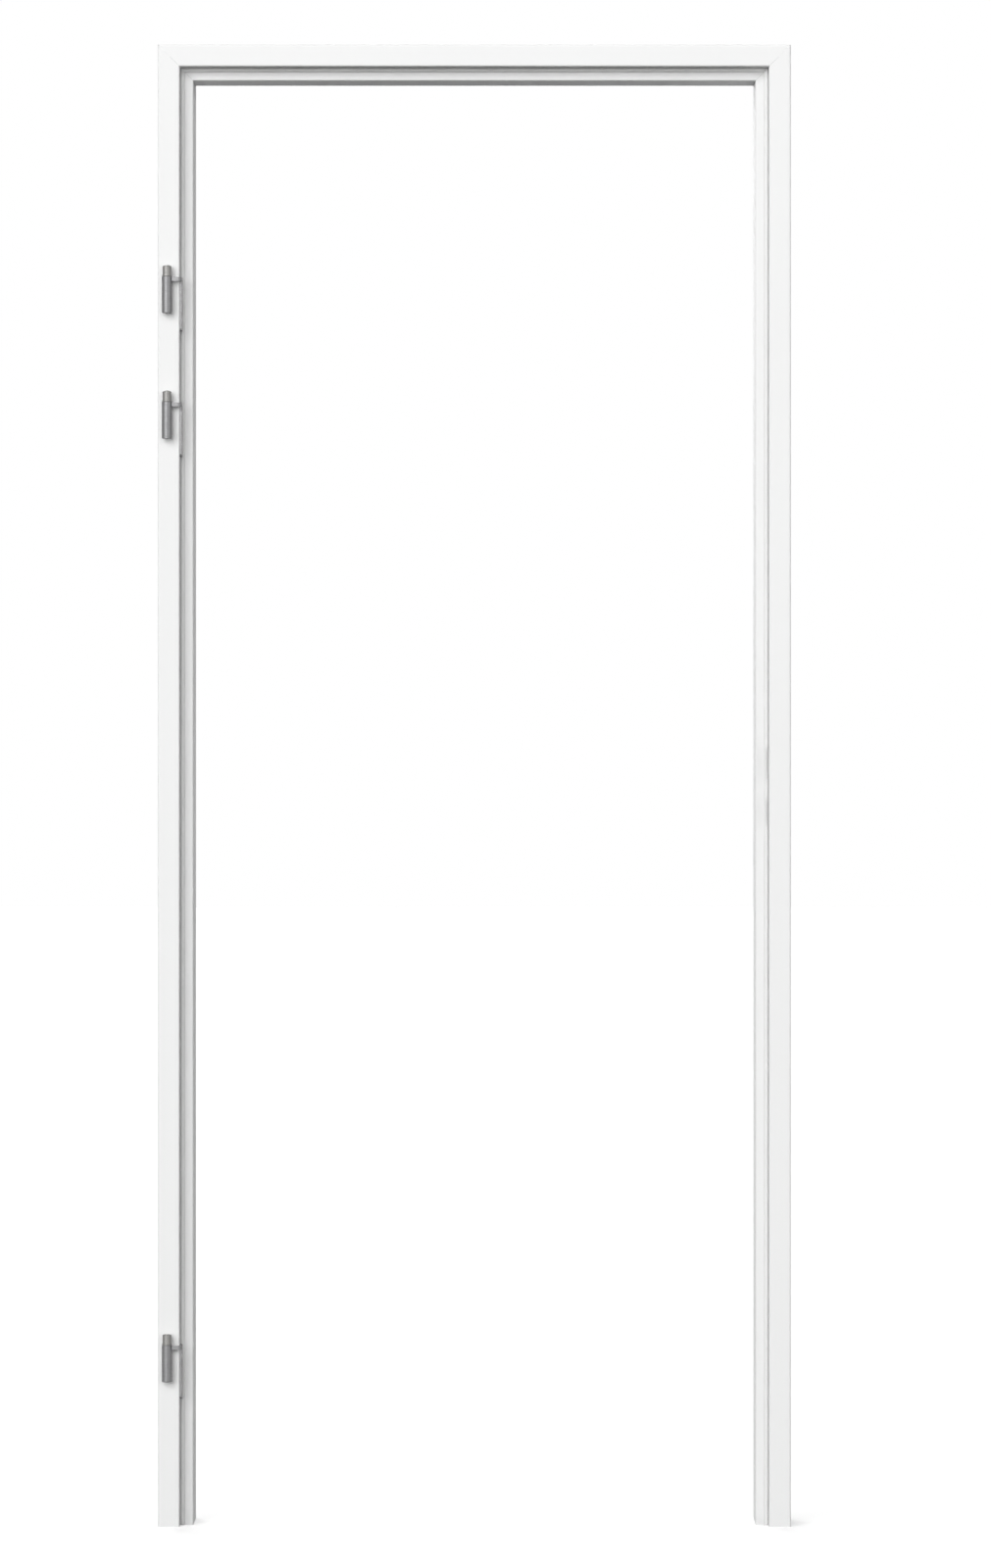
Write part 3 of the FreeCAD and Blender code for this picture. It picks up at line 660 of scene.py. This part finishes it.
def add_beads(node, lines):
    """Beads of one welded piece, along lines given by their two ends."""
    bm = bmesh.new()
    for number, (start, end) in enumerate(lines):
        lay_bead(bm, Vector(start), Vector(end), seed=len(node) + 7 * number)
    add_piece(finished_mesh(node + "_weld", bm), "weld")


def outer_and_inner_x(low, high, side):
    """X of a piece's side away from the doorway, and of its side at the doorway."""
    return (low.x, high.x) if side == "hinge" else (high.x, low.x)


def weld_frame():
    """Beads where the ties, brackets, corner plates and reinforcements meet the sheet."""
    for side in ("hinge", "lock"):
        for level in ("lower", "middle", "upper"):
            node = side + "_wall_tie_" + level
            low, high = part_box(node)
            outer = outer_and_inner_x(low, high, side)[0]
            bottom, top = low.z + BEAD_END_ROOM, high.z - BEAD_END_ROOM
            add_beads(node, [((outer, y, bottom), (outer, y, top)) for y in (low.y, high.y)])
        node = side + "_foot_bracket"
        low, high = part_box(node)
        inner = outer_and_inner_x(low, high, side)[1]
        bottom, top = low.z + BRACKET_FOLD_ROOM, high.z - BEAD_END_ROOM
        add_beads(node, [((inner, y, bottom), (inner, y, top)) for y in (low.y, high.y)])
        for member in ("jamb", "head"):
            node = side + "_corner_" + member + "_plate"
            low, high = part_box(node)
            inner = outer_and_inner_x(low, high, side)[1]
            front, back = low.y + BEAD_END_ROOM, high.y - BEAD_END_ROOM
            add_beads(node, [((inner, front, low.z), (inner, back, low.z))])
    for level in ("top", "middle", "bottom"):
        node = level + "_hinge_reinforcement"
        low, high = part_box(node)
        front, back = low.y + BEAD_RADIUS, high.y - BEAD_RADIUS
        add_beads(node, [((high.x, front, z), (high.x, back, z)) for z in (low.z, high.z)])


def turned_thread(bm, place, start, end, radius, pitch):
    """Screw thread between two levels of a local Z axis, tapered at its start."""
    depth = THREAD_DEPTH * pitch
    step = pitch / RINGS_PER_TURN
    rings = []
    for ring in range(int((end - start) / step) + 1):
        along = start + ring * step
        lead_in = max(0.0, 1.0 - (along - start) / pitch)
        points = []
        for turn in range(TURN_STEPS):
            angle = 2 * math.pi * turn / TURN_STEPS
            phase = (along / pitch - turn / TURN_STEPS) % 1.0
            groove = abs(2 * phase - 1)
            here = radius - depth * max(groove, lead_in)
            points.append(point_round(bm, place, angle, here, along))
        rings.append(points)
    join_rings(bm, rings)


def hexagon_cap(bm, place, start, end, flats, bore=None, both_ends=False):
    """Hexagon head or nut, its corners turned off to a cone at the far end or at both."""
    half = flats / 2
    end_face = END_FACE * half
    outline = []
    for turn in range(TURN_STEPS):
        angle = 2 * math.pi * turn / TURN_STEPS
        from_flat = (angle + math.pi / 6) % (math.pi / 3) - math.pi / 6
        outline.append((angle, half / math.cos(from_flat)))

    def cut(corner):
        """How much of the height the cone takes off at a radius of the outline."""
        return (corner - end_face) * CORNER_SLANT

    def flat_ring(radius, level):
        return [point_round(bm, place, angle, radius, level) for angle, _ in outline]

    def hexagon_ring(level, slope):
        return [
            point_round(bm, place, angle, corner, level + slope * cut(corner))
            for angle, corner in outline
        ]

    rings = [
        flat_ring(end_face, start),
        hexagon_ring(start, 1 if both_ends else 0),
        hexagon_ring(end, -1),
        flat_ring(end_face, end),
    ]
    if bore is None:
        join_rings(bm, rings)
        return
    chamfer = BORE_CHAMFER * bore
    inside = [
        flat_ring(bore + chamfer, start),
        flat_ring(bore, start + chamfer),
        flat_ring(bore, end - chamfer),
        flat_ring(bore + chamfer, end),
    ]
    join_rings(bm, rings + list(reversed(inside)) + [rings[0]], closed_ends=False)


def corner_bolt_places(side):
    """Matrix of each corner bolt: origin on the mitre, local Z towards the bolt's head."""
    low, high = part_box(side + "_corner_bolts")
    tip = (BOLT_SEAT + NUT_HEIGHT + BOLT_TIP + BOLT_RADIUS) / math.sqrt(2)
    away = -1 if side == "hinge" else 1
    x = outer_and_inner_x(low, high, side)[1] + away * tip
    z = high.z - tip
    direction = Vector((away, 0.0, -1.0)).normalized()
    places = []
    for y in (low.y + BOLT_FLATS / 2, high.y - BOLT_FLATS / 2):
        origin = Vector((x, y, z))
        places.append(frame_along(origin, origin + direction))
    return places


def fit_corner_bolts():
    """Threaded bolts and chamfered nuts in place of the plain ones of the source."""
    nut_end = -(BOLT_SEAT + NUT_HEIGHT)
    for side in ("hinge", "lock"):
        bolts = bmesh.new()
        nuts = bmesh.new()
        for place in corner_bolt_places(side):
            turned_thread(bolts, place, nut_end - BOLT_TIP, BOLT_SEAT, BOLT_RADIUS, BOLT_PITCH)
            hexagon_cap(bolts, place, BOLT_SEAT, BOLT_SEAT + BOLT_HEAD, BOLT_FLATS)
            hexagon_cap(nuts, place, nut_end, -BOLT_SEAT, BOLT_FLATS, BOLT_RADIUS, both_ends=True)
        for bm, kind in ((bolts, "bolts"), (nuts, "nuts")):
            mesh = finished_mesh(side + "_corner_" + kind + "_threaded", bm)
            piece = add_piece(mesh, "fastener")
            mesh.set_sharp_from_angle(angle=SHARP_ANGLE)
            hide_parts(side + "_corner_" + kind)


def thread_screw_tips():
    """Thread turns on the ends of the hinge screws, behind the reinforcement plates."""
    for level in ("top", "middle", "bottom"):
        low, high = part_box(level + "_hinge_screws")
        plate_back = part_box(level + "_hinge_reinforcement")[0].x
        head_radius = (high.y - low.y) / 2
        length = plate_back - low.x + 2 * SCREW_SKIN
        bm = bmesh.new()
        for z in (low.z + head_radius, high.z - head_radius):
            tip = Vector((low.x - SCREW_SKIN, (low.y + high.y) / 2, z))
            place = frame_along(tip, Vector((plate_back, tip.y, z)))
            turned_thread(bm, place, 0.0, length, SCREW_RADIUS + SCREW_SKIN, SCREW_PITCH)
        mesh = finished_mesh(level + "_hinge_screw_tips", bm)
        add_piece(mesh, "fastener")


def aim(thing, direction):
    thing.rotation_mode = "QUATERNION"
    thing.rotation_quaternion = direction.to_track_quat("-Z", "Y")


def make_lamp(name, kind, place, direction, **settings):
    data = bpy.data.lights.new(name, kind)
    for label, value in settings.items():
        setattr(data, label, value)
    lamp = bpy.data.objects.new(name, data)
    lamp.location = place
    aim(lamp, direction)
    bpy.context.scene.collection.objects.link(lamp)


def make_lamps():
    """Wide suns from the front left, the front right and behind, and a soft box."""
    for name, direction, strength, spread in (
        ("key", KEY_DIRECTION, KEY_STRENGTH, KEY_SPREAD),
        ("right fill", RIGHT_FILL_DIRECTION, RIGHT_FILL_STRENGTH, RIGHT_FILL_SPREAD),
        ("rear fill", REAR_DIRECTION, REAR_STRENGTH, REAR_SPREAD),
    ):
        make_lamp(name, "SUN", SUN_PLACE, direction, energy=strength, angle=spread)
    direction = SOFTBOX_AIM - SOFTBOX_PLACE
    make_lamp("softbox", "AREA", SOFTBOX_PLACE, direction, energy=SOFTBOX_POWER, size=SOFTBOX_SIZE)


def seen_directly(w):
    """One for what the camera sees, also by a reflection or through glass, and zero else."""
    light = w.node("ShaderNodeLightPath").outputs
    seen = w.maths("MAXIMUM", light["Is Camera Ray"], light["Is Glossy Ray"])
    return w.maths("MAXIMUM", seen, light["Is Transmission Ray"])


def make_world():
    """White where it is seen, and a plain pale ambient light elsewhere."""
    world = bpy.data.worlds.new("studio")
    world.use_nodes = True
    world.node_tree.nodes.clear()
    w = Wiring(world.node_tree)
    back = w.node("ShaderNodeBackground")
    w.join((1.0, 1.0, 1.0, 1.0), back.inputs["Color"])
    w.join(w.from_mask(seen_directly(w), AMBIENT, 1.0), back.inputs["Strength"])
    out = w.node("ShaderNodeOutputWorld")
    w.join(back.outputs["Background"], out.inputs["Surface"])
    bpy.context.scene.world = world


def floor_finish():
    """Pale to the eye, with the object's shadow, and a low bounce of light on the object."""
    material, w = bare_material("pale floor")
    pale = w.node("ShaderNodeBsdfDiffuse")
    clouds = w.noise(w.place(), w.per_metre(FLOOR_CLOUD_SIZE), detail=3.0, roughness=0.5)
    colour = w.blend(w.from_noise(clouds), FLOOR_COLOUR, FLOOR_CLOUD_COLOUR)
    w.join(colour, pale.inputs["Color"])
    glow = w.node("ShaderNodeEmission")
    w.join(FLOOR_GLOW, glow.inputs["Strength"])
    bright = w.node("ShaderNodeAddShader")
    w.join(pale.outputs[0], bright.inputs[0])
    w.join(glow.outputs[0], bright.inputs[1])
    bounce = w.node("ShaderNodeBsdfDiffuse")
    w.join(FLOOR_BOUNCE, bounce.inputs["Color"])
    chosen = w.node("ShaderNodeMixShader")
    w.join(seen_directly(w), chosen.inputs[0])
    w.join(bounce.outputs[0], chosen.inputs[1])
    w.join(bright.outputs[0], chosen.inputs[2])
    out = w.node("ShaderNodeOutputMaterial")
    w.join(chosen.outputs[0], out.inputs["Surface"])
    return material


def make_floor():
    mesh = bpy.data.meshes.new("floor")
    half = FLOOR_SIZE / 2
    corners = [(-half, -half, 0.0), (half, -half, 0.0), (half, half, 0.0), (-half, half, 0.0)]
    mesh.from_pydata(corners, [], [(0, 1, 2, 3)])
    floor = bpy.data.objects.new("floor", mesh)
    mesh.materials.append(floor_finish())
    bpy.context.scene.collection.objects.link(floor)


def make_camera():
    """Square to the hinge face, with the frame as large and as far off centre as photographed."""
    face_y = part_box("hinge_jamb")[0].y
    middle_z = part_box("head")[1].z / 2
    data = bpy.data.cameras.new("camera")
    data.sensor_width = SENSOR
    data.lens = SENSOR * CAMERA_DISTANCE * PIXELS_PER_METRE / PHOTO_HEIGHT
    data.shift_x = (PHOTO_WIDTH / 2 - VANISHING_X) / PHOTO_HEIGHT
    data.shift_y = (VANISHING_Y - PHOTO_HEIGHT / 2) / PHOTO_HEIGHT
    camera = bpy.data.objects.new("camera", data)
    camera.location = (
        (VANISHING_X - FRAME_MIDDLE_X) / PIXELS_PER_METRE,
        face_y - CAMERA_DISTANCE,
        middle_z + (FRAME_MIDDLE_Y - VANISHING_Y) / PIXELS_PER_METRE,
    )
    aim(camera, Vector((0.0, 1.0, 0.0)))
    bpy.context.scene.collection.objects.link(camera)
    bpy.context.scene.camera = camera


dress_frame()
weld_frame()
fit_corner_bolts()
thread_screw_tips()
make_floor()
make_lamps()
make_world()
make_camera()
bpy.context.scene.view_settings.view_transform = "Standard"
